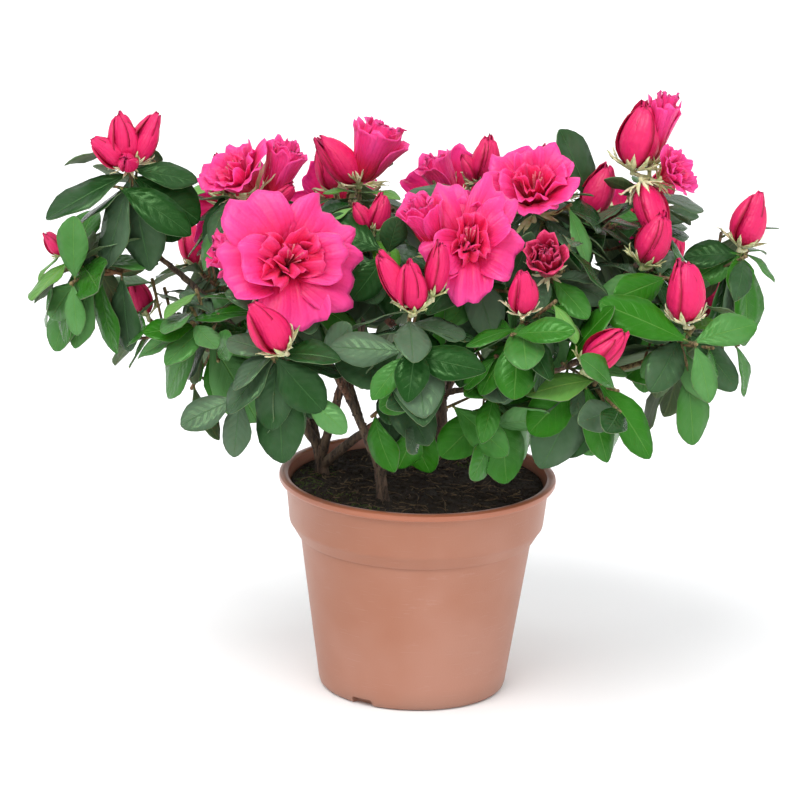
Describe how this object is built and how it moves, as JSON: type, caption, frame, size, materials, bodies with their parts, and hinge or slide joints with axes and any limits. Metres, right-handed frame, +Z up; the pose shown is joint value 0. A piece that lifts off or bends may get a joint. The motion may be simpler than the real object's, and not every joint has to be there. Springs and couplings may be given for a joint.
{
  "type": "potted azalea",
  "caption": "Small potted azalea shrub with pink double flowers and buds, dark green leaves and brown stems, in a round terracotta-coloured plastic pot filled with soil.",
  "frame": {"origin": "centre of the flat underside of the pot", "axes": "+Z up the plant, +X to the viewer's right and -Y towards the viewer of the picture"},
  "size_m": [0.3455, 0.2656, 0.289],
  "materials": {
    "pot": "satin terracotta-coloured moulded plastic",
    "soil": "dark matt potting soil with fibres and a little moss",
    "bark": "rough brown bark",
    "leaf": "glossy dark green leaves on brown twigs with pink flowers and buds"
  },
  "bodies": {
    "root": {"pot": "pot", "soil": "soil", "left_stem": "bark", "front_stem": "bark", "back_stem": "bark", "right_stem": "bark", "left_bough": "bark", "left_low_bough": "bark", "left_back_bough": "bark", "left_inner_bough": "bark", "low_bough": "bark", "front_left_bough": "bark", "front_right_bough": "bark", "top_left_bough": "bark", "centre_bough": "bark", "back_left_bough": "bark", "back_centre_bough": "bark", "back_right_bough": "bark", "right_bough": "bark", "right_back_bough": "bark", "right_front_bough": "bark", "right_middle_bough": "bark", "dark_flower_bough": "bark", "right_low_bough": "bark", "left_crest_spray": "leaf", "left_tip_spray": "leaf", "left_low_spray": "leaf", "left_side_spray": "leaf", "back_left_low_spray": "leaf", "back_left_high_spray": "leaf", "top_left_middle_spray": "leaf", "middle_small_spray": "leaf", "front_low_spray": "leaf", "front_right_spray": "leaf", "front_left_spray": "leaf", "big_flower_spray": "leaf", "low_middle_spray": "leaf", "front_middle_spray": "leaf", "top_left_spray": "leaf", "middle_flower_spray": "leaf", "top_right_middle_spray": "leaf", "back_middle_left_low_spray": "leaf", "back_middle_left_high_spray": "leaf", "back_middle_low_spray": "leaf", "back_middle_high_spray": "leaf", "back_middle_right_low_spray": "leaf", "back_middle_right_high_spray": "leaf", "right_crest_spray": "leaf", "right_tip_spray": "leaf", "back_right_low_spray": "leaf", "back_right_high_spray": "leaf", "right_front_spray": "leaf", "right_side_spray": "leaf", "right_upper_spray": "leaf", "right_bud_spray": "leaf", "dark_flower_spray": "leaf", "centre_right_spray": "leaf", "right_low_spray": "leaf"}
  },
  "joints": []
}
